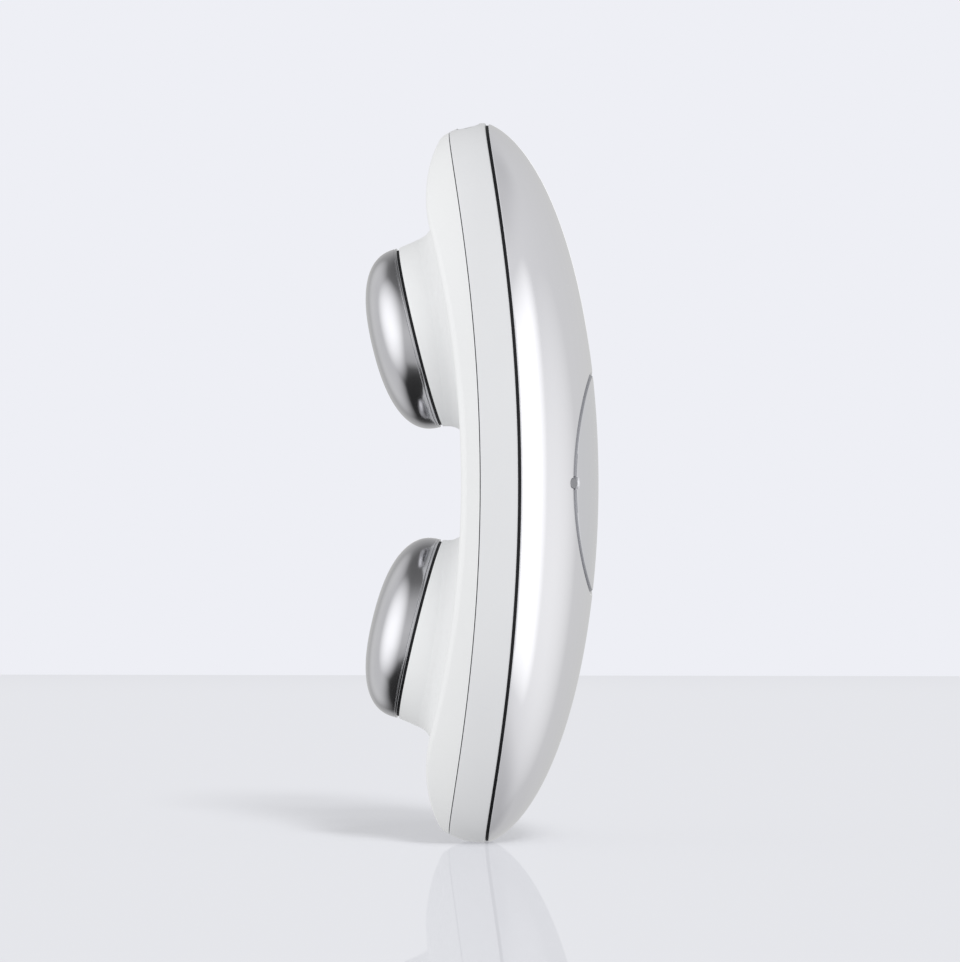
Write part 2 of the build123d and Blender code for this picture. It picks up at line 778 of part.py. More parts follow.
def electrode_nuts():
    nuts = []
    for side in (1, -1):
        across = RegularPolygon(nut_across / 2, 6, major_radius=False)
        nut = extrude(across, amount=nut_height) - Pos(0, 0, nut_height / 2) * Cylinder(
            stud_r + thread_clearance, 2 * nut_height)
        nuts.append(post_plane(side, post_top + terminal_height + nut_height).location * nut)
    return nuts


def electrode_terminals():
    terminals = []
    for side in (1, -1):
        tab = Pos(-terminal_tab / 2, 0) * Rectangle(terminal_tab, terminal_tab_width)
        plate = extrude(Circle(terminal_r) + tab - Circle(stud_r + stud_clearance), amount=terminal_height)
        terminals.append(post_plane(side, post_top + terminal_height).location * plate)
    return terminals


def electrode_lead(side):
    place = post_plane(side, post_top + terminal_height)
    start = place.from_local_coords(Vector(-terminal_tab + terminal_tab_width / 2, 0, 0))
    risen = place.from_local_coords(Vector(-terminal_tab + terminal_tab_width / 2, 0, -lead_rise))
    turn = (lead_turn_x, lead_pad_y, mid_z + side * lead_pad_up)
    end = (board_back, lead_pad_y, mid_z + side * lead_pad_up)
    return wire([start, risen, turn, end], lead_r, lead_bend)


# ---- Screws -------------------------------------------------------------------------
def screw(seat_x, shank, shank_r, head_r, head, y, up, towards=1):
    """Pan-head screw along X, whose head lies against seat_x."""
    if towards > 0:
        return rod(seat_x, seat_x + shank, shank_r, y, up) + rod(seat_x - head, seat_x, head_r, y, up)
    return rod(seat_x - shank, seat_x, shank_r, y, up) + rod(seat_x, seat_x + head, head_r, y, up)


def frame_screws():
    return [screw(frame_back, frame_screw_length, frame_screw_r, frame_screw_head_r, frame_screw_head, y, up)
            for y, up in four(frame_boss_y, frame_boss_up)]


def board_screws():
    length = board_depth + board_lift + frame_depth
    return [screw(board_front, length, board_screw_r, board_screw_head_r, board_screw_head, y, up, -1)
            for y, up in four(board_screw_y, board_screw_up)]


def charge_board_screws():
    return [screw(charge_board_back, charge_screw_length, charge_screw_r, charge_screw_head_r,
                  charge_screw_head, y, charge_screw_up)
            for y in (-charge_screw_y, charge_screw_y)]


# ---- All sub-parts ------------------------------------------------------------------
PIECES = {
    "front_cover": front_cover,
    "side_band": side_band,
    "back_cover": back_cover,
    "front_gasket": front_gasket,
    "front_button": front_button,
    "status_light_pipe": status_light_pipe,
    "button_bumpers": button_bumpers,
    "switch_body": switch_body,
    "switch_stem": switch_stem,
    "inner_frame": inner_frame,
    "main_board": main_board,
    "microcontroller": microcontroller,
    "boost_inductor": boost_inductor,
    "board_capacitors": board_capacitors,
    "status_led": status_led,
    "battery_connector": battery_connector,
    "battery": battery,
    "battery_pad": battery_pad,
    "battery_leads": battery_leads,
    "vibration_motor": vibration_motor,
    "motor_boot": motor_boot,
    "motor_weight": motor_weight,
    "motor_leads": motor_leads,
    "charge_board": charge_board,
    "charge_socket_shell": charge_socket_shell,
    "charge_socket_tongue": charge_socket_tongue,
    "charge_flex": charge_flex,
    "upper_electrode": lambda: electrode(1),
    "lower_electrode": lambda: electrode(-1),
    "upper_electrode_seal": lambda: electrode_seal(1),
    "lower_electrode_seal": lambda: electrode_seal(-1),
    "electrode_nuts": electrode_nuts,
    "electrode_terminals": electrode_terminals,
    "upper_electrode_lead": lambda: electrode_lead(1),
    "lower_electrode_lead": lambda: electrode_lead(-1),
    "frame_screws": frame_screws,
    "board_screws": board_screws,
    "charge_board_screws": charge_board_screws,
}


def solids_of(piece):
    """The separate solids of a piece or of a group of pieces."""
    pieces = piece if isinstance(piece, list) else [piece]
    return [solid for one in pieces for solid in one.solids()]


os.makedirs("parts", exist_ok=True)
for node, make in PIECES.items():
    solids = solids_of(make())
    export_step(solids[0] if len(solids) == 1 else Compound(children=solids), f"parts/{node}.step")
    print(f"{node}: {len(solids)} solid(s), {sum(solid.volume for solid in solids):.1f} mm3")
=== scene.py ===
"""Looks of a hand-held facial toning device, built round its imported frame.

Meshes are worked out in millimetres, in the frame's own axes: +Z up the long axis, +X towards
the glossy front and its round button, -X towards the two steel domes, and Y across the body.
The name "up" is a height above the middle of the body.
"""
import json
import logging
from collections.abc import Callable
from dataclasses import dataclass
from enum import Enum
from math import acos, asin, cos, pi, radians, sin, sqrt, tan

import bmesh
import bpy
from mathutils import Matrix, Vector


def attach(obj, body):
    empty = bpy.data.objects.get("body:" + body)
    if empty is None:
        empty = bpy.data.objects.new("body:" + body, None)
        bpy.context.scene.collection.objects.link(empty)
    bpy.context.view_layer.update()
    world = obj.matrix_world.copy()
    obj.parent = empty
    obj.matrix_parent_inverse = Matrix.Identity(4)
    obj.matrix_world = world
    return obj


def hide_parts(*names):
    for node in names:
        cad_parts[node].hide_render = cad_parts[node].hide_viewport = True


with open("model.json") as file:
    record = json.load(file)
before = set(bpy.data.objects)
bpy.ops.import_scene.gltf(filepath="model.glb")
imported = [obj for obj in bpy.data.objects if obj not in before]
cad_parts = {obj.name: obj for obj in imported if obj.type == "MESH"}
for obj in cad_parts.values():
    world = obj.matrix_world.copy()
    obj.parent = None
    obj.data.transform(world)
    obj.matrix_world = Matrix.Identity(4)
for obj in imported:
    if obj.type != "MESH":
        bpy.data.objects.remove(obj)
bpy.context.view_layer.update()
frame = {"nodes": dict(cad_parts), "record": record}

MM = 0.001
ARC_STEPS = 5               # faces in a rounded corner
SMALL_EDGE = 0.08           # rounding of edges that nobody sees, in millimetres
ROUGH_STEPS = 8             # steps that a line's length is judged by
SLOPE_STEP = 1e-3           # share of a line that its speed is judged by
MOST_TRIMMED = 0.4          # share of a line that a rounding takes off each end, at most
WALL_ROUNDS = 6             # rounds that bring a point onto the crowned side wall
LOWEST_LIFT, HIGHEST_LIFT = radians(-20), radians(80)   # the cover meets its seam between them
HALVINGS = 40               # halvings that find where
LIGHT_ANGLE = 1.5 * pi      # place of the status light round the button
COAT_ROUGHNESS = 0.03       # clear lacquer that has flowed level

Line = Callable[[float], Vector]
Piece = bpy.types.Object
Tree = bpy.types.NodeTree
Socket = bpy.types.NodeSocket
log = logging.getLogger("facial_toning_device")


# ---- Lines, profiles and meshes ----
@dataclass(frozen=True)
class Side:
    """One side of a profile, which starts in a rounded corner.

    Attributes:
        line: Gives the point at a share of the way along the side.
        count: Points taken on it.
        edge: How far from the corner the rounding starts, in millimetres.
    """

    line: Line
    count: int = 2
    edge: float = SMALL_EDGE


def straight(start: Vector, end: Vector) -> Line:
    """Straight line from start to end."""
    return lambda share: start.lerp(end, share)


def sampled(line: Line, start: float, end: float, count: int) -> list[Vector]:
    """Points along a line, after a length is left off each of its ends.

    Args:
        line: The whole line.
        start: Length left off at its start, in millimetres.
        end: Length left off at its end.
        count: Number of points.

    Returns:
        The points, the first and last at the shortened ends.
    """
    rough = [line(place / ROUGH_STEPS) for place in range(ROUGH_STEPS + 1)]
    limit = MOST_TRIMMED * sum((after - before).length for before, after in zip(rough, rough[1:]))
    first = min(start, limit) * SLOPE_STEP / (line(SLOPE_STEP) - line(0.0)).length
    last = 1.0 - min(end, limit) * SLOPE_STEP / (line(1.0) - line(1.0 - SLOPE_STEP)).length
    return [line(first + (last - first) * place / (count - 1)) for place in range(count)]


def corner_arc(before: Vector, corner: Vector, after: Vector) -> list[Vector]:
    """Points between two tangent points, on the arc that rounds their corner.

    Args:
        before: Tangent point on the side that ends in the corner.
        corner: The sharp corner.
        after: Tangent point on the side that starts there.

    Returns:
        The arc's inner points.
    """
    weight = (after - before).length / ((corner - before).length + (after - corner).length)
    points = []
    for step in range(1, ARC_STEPS):
        share = step / ARC_STEPS
        first, middle, last = (1 - share) ** 2, 2 * weight * share * (1 - share), share ** 2
        points.append((before * first + corner * middle + after * last) / (first + middle + last))
    return points


def profile(sides: list[Side], closed: bool) -> list[Vector]:
    """Points along a row of sides, with every corner between them rounded.

    Args:
        sides: Each starts where the one before it ends.
        closed: True if the last side ends where the first one starts.

    Returns:
        The points in order.
    """
    points = []
    for place, side in enumerate(sides):
        is_last = place == len(sides) - 1
        start = 0.0 if place == 0 and not closed else side.edge
        if is_last and not closed:
            return points + sampled(side.line, start, 0.0, side.count)
        following = sides[(place + 1) % len(sides)]
        run = sampled(side.line, start, following.edge, side.count)
        after = sampled(following.line, following.edge, 0.0, 2)[0]
        points += run + corner_arc(run[-1], side.line(1.0), after)
    return points


def new_object(name: str, data: bpy.types.ID) -> Piece:
    """Links data to the scene as an object.

    Args:
        name: The object's name.
        data: A mesh, lamp or lens.

    Returns:
        The object.
    """
    piece = bpy.data.objects.new(name, data)
    bpy.context.scene.collection.objects.link(piece)
    return piece


def loft(name: str, columns: list[list[Vector]], capped: bool = False) -> Piece:
    """Closed mesh through columns of points that go once round the piece.

    Points under the floor are lifted onto it, which makes the flat that the device stands on.

    Args:
        name: The object's name.
        columns: One profile for each place round the piece, all with as many points.
        capped: True if every column starts in one point and ends in another. Otherwise
            each column is a closed loop.

    Returns:
        The smooth-shaded object, in metres.
    """
    mesh = bpy.data.meshes.new(name)
    skin = bmesh.new()
    lifted = [[Vector((point.x, point.y, max(0.0, point.z))) * MM for point in column] for column in columns]
    if capped:
        ends = skin.verts.new(lifted[0][0]), skin.verts.new(lifted[0][-1])
        rows = [[ends[0], *map(skin.verts.new, column[1:-1]), ends[1]] for column in lifted]
    else:
        rows = [[*map(skin.verts.new, column)] for column in lifted]
        rows = [row + row[:1] for row in rows]
    for row, following in zip(rows, rows[1:] + rows[:1]):
        for place in range(len(row) - 1):
            corners = (row[place], row[place + 1], following[place + 1], following[place])
            skin.faces.new(dict.fromkeys(corners))
    bmesh.ops.recalc_face_normals(skin, faces=skin.faces)
    skin.to_mesh(mesh)
    skin.free()
    mesh.polygons.foreach_set("use_smooth", [True] * len(mesh.polygons))
    return new_object(name, mesh)


def keep_flats_flat(piece: Piece) -> None:
    """Shades large faces by their own slope, so that small rounded edges don't bend them.

    Args:
        piece: The smooth-shaded object.
    """
    weighted = piece.modifiers.new("keep_flats_flat", "WEIGHTED_NORMAL")
    weighted.weight = 100
    weighted.keep_sharp = True


def cut_away(piece: Piece, cutter: Piece) -> None:
    """Cuts one mesh out of another for good, and removes the cutter.

    Args:
        piece: The object that gets the opening.
        cutter: The closed mesh to take away.
    """
    cut = piece.modifiers.new("cut", "BOOLEAN")
    cut.operation = "DIFFERENCE"
    cut.solver = "EXACT"
    cut.object = cutter
    graph = bpy.context.evaluated_depsgraph_get()
    result = bpy.data.meshes.new_from_object(piece.evaluated_get(graph))
    piece.modifiers.remove(cut)
    piece.data = result
    bpy.data.objects.remove(cutter)


def seat(piece: Piece, finish: "Finish", body: str, slot: str, *nodes: str) -> None:
    """Gives a finished mesh its material, its body and the nodes that it stands for.

    Args:
        piece: The finished mesh.
        finish: What it is made of.
        body: The frame's body that it moves with.
        slot: The record's material slot; not used.
        nodes: The frame's nodes that it replaces.
    """
    piece.data.materials.clear()
    piece.data.materials.append(finish.material())
    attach(piece, body)
    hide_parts(*nodes)
    log.info("%s: %d faces, rides on %s", piece.name, len(piece.data.polygons), body)


# ---- Materials ----
def linear(hex_colour: str) -> tuple[float, float, float, float]:
    """Linear colour of an sRGB hex value, such as #E8E9EB."""
    channels = [int(hex_colour[place:place + 2], 16) / 255 for place in (1, 3, 5)]
    return (*(c / 12.92 if c <= 0.04045 else ((c + 0.055) / 1.055) ** 2.4 for c in channels), 1.0)


def empty_tree(owner: bpy.types.Material | bpy.types.World) -> Tree:
    """Switches a material or world to nodes and clears them.

    Args:
        owner: The material or world.

    Returns:
        Its empty node tree.
    """
    owner.use_nodes = True
    owner.node_tree.nodes.clear()
    return owner.node_tree


def add_node(tree: Tree, kind: str, values: dict | None = None,
             links: dict | None = None, **settings: object) -> bpy.types.Node:
    """Adds one node.

    Args:
        tree: The tree that gets it.
        kind: The node's type, without the word ShaderNode in front.
        values: Value of each input, by the input's name or number.
        links: Output that feeds each input, by the input's name or number.
        settings: The node's own settings.

    Returns:
        The node.
    """
    node = tree.nodes.new("ShaderNode" + kind)
    for name, value in settings.items():
        setattr(node, name, value)
    for socket, value in (values or {}).items():
        node.inputs[socket].default_value = value
    for socket, source in (links or {}).items():
        tree.links.new(source, node.inputs[socket])
    return node


class Relief(Enum):
    """How a surface was made: the pattern of its relief, and the stretch of that along X, Y and Z."""

    GRAINY = ("TexVoronoi", (1.0, 1.0, 1.0))
    WOVEN = ("TexVoronoi", (1.0, 1.0, 0.25))
    DRAWN_ACROSS = ("TexNoise", (1.0, 0.04, 1.0))
    DRAWN_UP = ("TexNoise", (1.0, 1.0, 0.04))


@dataclass(frozen=True)
class Finish:
    """One real material and how its surface was made.

    Attributes:
        name: Common name of the material.
        base: Main colour, sRGB.
        shade: Colour that clouds it.
        roughness: Lowest roughness.
        spread: How much rougher it is in places.
        metallic: 1 for a metal, and less for a lacquer with mica in it.
        ior: Index of refraction, for what isn't a metal.
        coat: Weight of a clear lacquer.
        relief: How the surface was made.
        pitch_mm: Spacing of its relief.
        depth_mm: Depth of its relief.
        cloud_mm: Size of the patches that its colour and roughness vary in.
    """

    name: str
    base: str
    shade: str
    roughness: float
    spread: float = 0.05
    metallic: float = 0.0
    ior: float = 1.5
    coat: float = 0.0
    relief: Relief = Relief.GRAINY
    pitch_mm: float = 0.3
    depth_mm: float = 0.002
    cloud_mm: float = 12.0

    def material(self) -> bpy.types.Material:
        """The material, made once and then shared."""
        known = bpy.data.materials.get(self.name)
        return known or self.build()

    def build(self) -> bpy.types.Material:
        """Makes the node tree.

        Returns:
            The new material.
        """
        material = bpy.data.materials.new(self.name)
        tree = empty_tree(material)
        place = add_node(tree, "TexCoord").outputs["Object"]
        cloud = add_node(tree, "TexNoise", {"Scale": 1 / (self.cloud_mm * MM), "Detail": 3.0},
                         {"Vector": place}).outputs[0]
        colour = add_node(tree, "Mix", {6: linear(self.base), 7: linear(self.shade)}, {0: cloud},
                          data_type="RGBA").outputs[2]
        rough_range = {3: self.roughness, 4: self.roughness + self.spread}
        rough = add_node(tree, "MapRange", rough_range, {0: cloud}).outputs[0]
        pattern, stretch = self.relief.value
        surface = add_node(tree, "Mapping", {"Scale": stretch}, {"Vector": place}).outputs[0]
        height = add_node(tree, pattern, {"Scale": 1 / (self.pitch_mm * MM)}, {"Vector": surface}).outputs[0]
        normal = add_node(tree, "Bump", {"Distance": self.depth_mm * MM}, {"Height": height}).outputs[0]
        values = {"Metallic": self.metallic, "IOR": self.ior, "Coat Weight": self.coat,
                  "Coat Roughness": COAT_ROUGHNESS}
        shader = add_node(tree, "BsdfPrincipled", values,
                          {"Base Color": colour, "Roughness": rough, "Normal": normal})
        add_node(tree, "OutputMaterial", links={"Surface": shader.outputs[0]})
        return material


# ABS under pearl lacquer, whose mica gives it sharp and fairly bright reflections over its white.
GLOSSY_ABS = Finish("glossy_white_abs", "#E6E6EA", "#E2E2E7", 0.07, 0.02, metallic=0.16, ior=1.6, coat=1.0,
                    pitch_mm=6.0, depth_mm=0.001, cloud_mm=25.0)
# The button's lacquer is thinner and holds less mica, so its highlights are a little duller.
BUTTON_ABS = Finish("button_abs", "#DBDCE1", "#D7D8DD", 0.09, 0.03, metallic=0.1, ior=1.6, coat=0.6,
                    pitch_mm=5.0, depth_mm=0.001, cloud_mm=20.0)
# Satin ABS from a finely blasted mould: broad soft highlights, grain too fine to see by itself.
SATIN_ABS = Finish("satin_white_abs", "#E7E8EA", "#E2E3E6", 0.34, 0.06, ior=1.5,
                   pitch_mm=0.25, depth_mm=0.0012, cloud_mm=15.0)
# Soft-touch coated polycarbonate: nearly matte, with an eggshell-fine grain.
SOFT_TOUCH = Finish("soft_touch_polycarbonate", "#EEEFF0", "#EAEBEC", 0.55, 0.08, ior=1.45,
                    pitch_mm=0.3, depth_mm=0.0015, cloud_mm=18.0)
# Stainless steel, pressed and satin-polished: blurred reflections, faint polishing marks.
POLISHED_STEEL = Finish("satin_polished_stainless_steel", "#C6C6C9", "#BCBCC0", 0.12, 0.03, metallic=1.0,
                        pitch_mm=0.35, depth_mm=0.0004, cloud_mm=5.0)
# Silicone rubber: dark, dull, slightly dusty.
BLACK_SILICONE = Finish("black_silicone", "#16171A", "#1D1E21", 0.55, 0.15, ior=1.41,
                        pitch_mm=0.2, depth_mm=0.004, cloud_mm=4.0)
# Painted shade: flat grey on the button's rounded edge and side, standing in for the shadow in the joint
# round the button.
PAINTED_JOINT_SHADE = Finish("painted_joint_shade_grey", "#9C9DA3", "#96979D", 0.3, 0.05, ior=1.5,
                    pitch_mm=0.4, depth_mm=0.001, cloud_mm=4.0)
# Smoke-tinted acrylic that the status light shines through.
SMOKE_CLEAR = Finish("smoke_grey_acrylic", "#8B8C91", "#85868B", 0.18, 0.04, ior=1.49,
                     pitch_mm=0.4, depth_mm=0.001, cloud_mm=2.0)

# What the record's other material slots are made of: parts held inside, or deep in the socket.
FINISHES = {
    "front_cover": GLOSSY_ABS,
    "side_band": SATIN_ABS,
    "back_cover": SOFT_TOUCH,
    "front_gasket": BLACK_SILICONE,
    "front_button": BUTTON_ABS,
    "light_pipe": SMOKE_CLEAR,
    "electrode": POLISHED_STEEL,
    "electrode_seal": BLACK_SILICONE,
    # Moulded silicone: pale grey, soft-edged highlights.
    "silicone": Finish("grey_silicone", "#A6A8AB", "#9B9DA1", 0.45, 0.1, ior=1.41, cloud_mm=3.0),
    # Nylon filled with glass, which leaves its black slightly greyed and grainy.
    "switch": Finish("black_glass_filled_nylon", "#1B1B1D", "#242427", 0.4, 0.1, ior=1.53,
                     pitch_mm=0.2, depth_mm=0.003, cloud_mm=2.0),
    # Unfilled moulded nylon: waxy off-white.
    "frame": Finish("natural_nylon", "#DCD9CF", "#D3D0C4", 0.42, 0.1, ior=1.53,
                    pitch_mm=0.6, depth_mm=0.004),
    # Solder mask over woven glass fibre, whose weave shows through.
    "circuit_board": Finish("green_solder_mask_on_glass_fibre", "#12583A", "#0D4A30", 0.3, 0.1, ior=1.55,
                            coat=0.4, relief=Relief.WOVEN, pitch_mm=0.5, depth_mm=0.006, cloud_mm=2.5),
    # Moulded epoxy: dull black, finely pitted.
    "chip": Finish("moulded_epoxy", "#202124", "#2A2B2E", 0.5, 0.15, ior=1.6,
                   pitch_mm=0.12, depth_mm=0.004, cloud_mm=1.0),
    # Fired ceramic with tinned ends: tan that clouds to pale grey.
    "ceramic": Finish("tinned_ceramic", "#9A8468", "#C4BCB0", 0.4, 0.1, ior=1.6,
                      pitch_mm=0.2, depth_mm=0.002, cloud_mm=1.2),
    # Cast epoxy lens: smooth and faintly yellow.
    "led": Finish("led_lens_epoxy", "#EFE9C8", "#E6DFB8", 0.15, 0.05, cloud_mm=0.5),
    # Moulded nylon: creamy, with a soft shine.
    "connector": Finish("off_white_nylon", "#E4DECF", "#D9D2C0", 0.4, 0.1, ior=1.53, cloud_mm=2.0),
    # Foil pouch, lightly creased by the winding inside.
    "battery": Finish("aluminium_pouch_foil", "#C9CBCF", "#B4B6BA", 0.3, 0.12, metallic=1.0,
                      pitch_mm=2.2, depth_mm=0.03, cloud_mm=6.0),
    # Blown foam: no shine, small cells.
    "foam": Finish("closed_cell_foam", "#26272A", "#313236", 0.85, 0.1,
                   pitch_mm=0.35, depth_mm=0.06, cloud_mm=2.0),
    # Extruded PVC: smooth deep red, a little glossy.
    "red_lead": Finish("red_pvc_insulation", "#A81F1C", "#8E1815", 0.35, 0.08, ior=1.53, cloud_mm=3.0),
    # Deep-drawn can: fine lines along the axis it was drawn on.
    "motor_can": Finish("deep_drawn_steel", "#B8B8BA", "#A5A5A8", 0.28, 0.1, metallic=1.0,
                        relief=Relief.DRAWN_ACROSS, pitch_mm=0.12, depth_mm=0.002, cloud_mm=2.0),
    # Pressed and sintered powder: dark grey metal, pitted, with little shine.
    "tungsten": Finish("sintered_tungsten", "#77777A", "#67676B", 0.5, 0.12, metallic=1.0,
                       pitch_mm=0.15, depth_mm=0.006, cloud_mm=1.0),
    # Deep-drawn stainless steel: fine lines up the shell, brighter than the can.
    "socket_metal": Finish("deep_drawn_stainless_steel", "#C2C2C5", "#AFAFB3", 0.22, 0.1, metallic=1.0,
                           relief=Relief.DRAWN_UP, pitch_mm=0.12, depth_mm=0.0015, cloud_mm=1.5),
    # Moulded liquid crystal polymer: smooth black with a soft shine.
    "tongue": Finish("black_liquid_crystal_polymer", "#121214", "#1A1A1D", 0.35, 0.1, ior=1.6, cloud_mm=1.0),
    # Polyimide film: glossy clear amber over copper.
    "flex": Finish("amber_polyimide", "#B4701B", "#9C5C10", 0.25, 0.08, ior=1.7, coat=0.3, cloud_mm=2.0),
    # Turned brass: yellow, with the tool's fine lines.
    "brass": Finish("turned_brass", "#D9B565", "#C29A48", 0.25, 0.1, metallic=1.0,
                    relief=Relief.DRAWN_ACROSS, pitch_mm=0.15, depth_mm=0.002, cloud_mm=1.0),
    # Zinc plating: bright grey, slightly cloudy.
    "steel_screw": Finish("zinc_plated_steel", "#BFC0C4", "#A9AAB0", 0.3, 0.12, metallic=1.0,
                          pitch_mm=0.3, depth_mm=0.002, cloud_mm=0.8),
}


# ---- The body's outer form ----
@dataclass(frozen=True)
class BodyForm:
    """Bowed oval body: an ellipsoid in front, a side wall, and seams that bow with it."""

    stand_height: float = 116.0
    body_width: float = 60.0
    stand_flat_depth: float = 0.3
    seam_mid_x: float = 8.1
    seam_tip_x: float = 1.45
    seam_gap: float = 0.5
    band_depth: float = 6.1
    dome_x: float = -1.05
    dome_depth: float = 20.5
    end_crown_r: float = 13.0
    side_crown_r: float = 40.0
    back_mid_x: float = -1.15
    saddle_r: float = 150.0
    cover_wall: float = 2.0
    band_wall: float = 2.2

    @property
    def tip_half(self) -> float:
        """Half the height before the stand flat is taken off."""
        return (self.stand_height + self.stand_flat_depth) / 2

    @property
    def mid_z(self) -> float:
        """Height of the middle above the floor."""
        return self.stand_height - self.tip_half

    @property
    def seam_r(self) -> float:
        """Radius that the front seam bows with."""
        rise = self.seam_mid_x - self.seam_tip_x
        return (self.tip_half ** 2 + rise ** 2) / (2 * rise)

    @property
    def dome_sizes(self) -> tuple[float, float, float]:
        """Half depth, half width and half height of the front ellipsoid."""
        tip_share = (self.seam_tip_x - self.dome_x) / self.dome_depth
        mid_share = (self.seam_mid_x - self.dome_x) / self.dome_depth
        half_width = self.body_width / 2 / sqrt(1 - mid_share ** 2)
        return self.dome_depth, half_width, self.tip_half / sqrt(1 - tip_share ** 2)

    def bow(self, up: float, radius: float) -> float:
        """X of a surface of that radius, bowed about the seams' common axis."""
        return self.seam_mid_x - self.seam_r + sqrt(radius ** 2 - up ** 2)

    def outline_y(self, up: float) -> float:
        """Half width where the front ellipsoid meets the front seam.

        Args:
            up: Height above the body's middle.

        Returns:
            The half width, in millimetres.
        """
        depth, width, height = self.dome_sizes
        x = self.bow(up, self.seam_r)
        return width * sqrt(max(0.0, 1 - (up / height) ** 2 - ((x - self.dome_x) / depth) ** 2))

    def wall_point(self, turn: float, radius: float, inset: float = 0.0) -> Vector:
        """Point on the side wall where a bowed surface crosses it.

        Args:
            turn: Angle round the outline, 0 at the upper tip.
            radius: Radius of the bowed surface.
            inset: How far inside the side wall.

        Returns:
            The point, in millimetres.
        """
        up = self.tip_half * cos(turn)
        tall, wide, x = 1.0, 1.0, 0.0
        for _ in range(WALL_ROUNDS):
            x = self.bow(up * tall, radius)
            depth = max(0.0, self.seam_tip_x - x)
            end_drop = self.end_crown_r - sqrt(self.end_crown_r ** 2 - depth ** 2)
            side_drop = self.side_crown_r - sqrt(self.side_crown_r ** 2 - depth ** 2)
            tall = (self.tip_half - end_drop - inset) / self.tip_half
            wide = (self.body_width / 2 - side_drop - inset) / (self.body_width / 2)
        side = self.outline_y(up) * wide
        return Vector((x, side if sin(turn) > 0 else -side, self.mid_z + up * tall))

    def dome_point(self, angle: float, lift: float, wall: float = 0.0) -> Vector:
        """Point on the front ellipsoid.

        Args:
            angle: Angle round the X axis, 0 upwards.
            lift: Angle towards +X, a quarter turn at its pole.
            wall: How far inside the surface.

        Returns:
            The point, in millimetres.
        """
        depth, width, height = (size - wall for size in self.dome_sizes)
        spoke = cos(lift) / sqrt((sin(angle) / width) ** 2 + (cos(angle) / height) ** 2)
        return Vector((self.dome_x + depth * sin(lift), spoke * sin(angle), self.mid_z + spoke * cos(angle)))

    def lift_at_radius(self, angle: float, radius: float, wall: float = 0.0) -> float:
        """The lift at which the ellipsoid is that far from the X axis."""
        _, width, height = (size - wall for size in self.dome_sizes)
        return acos(radius * sqrt((sin(angle) / width) ** 2 + (cos(angle) / height) ** 2))

    def lift_at_seam(self, angle: float, wall: float = 0.0) -> float:
        """Finds where the ellipsoid meets the cover's side of the front seam.

        Args:
            angle: Angle round the X axis, 0 upwards.
            wall: How far inside the surface.

        Returns:
            The lift, in radians.
        """
        low, high = LOWEST_LIFT, HIGHEST_LIFT
        for _ in range(HALVINGS):
            middle = (low + high) / 2
            point = self.dome_point(angle, middle, wall)
            if point.x < self.bow(point.z - self.mid_z, self.seam_r + self.seam_gap / 2):
                low = middle
            else:
                high = middle
        return (low + high) / 2


FORM = BodyForm()


def dome_line(angle: float, start: float, end: float, wall: float = 0.0) -> Line:
    """Line on the front ellipsoid, in the half plane at that angle, between two lifts."""
    return lambda share: FORM.dome_point(angle, start + (end - start) * share, wall)


def at_radius(angle: float, radius: float, x: float) -> Vector:
    """Point at a distance from the X axis."""
    return Vector((x, radius * sin(angle), FORM.mid_z + radius * cos(angle)))


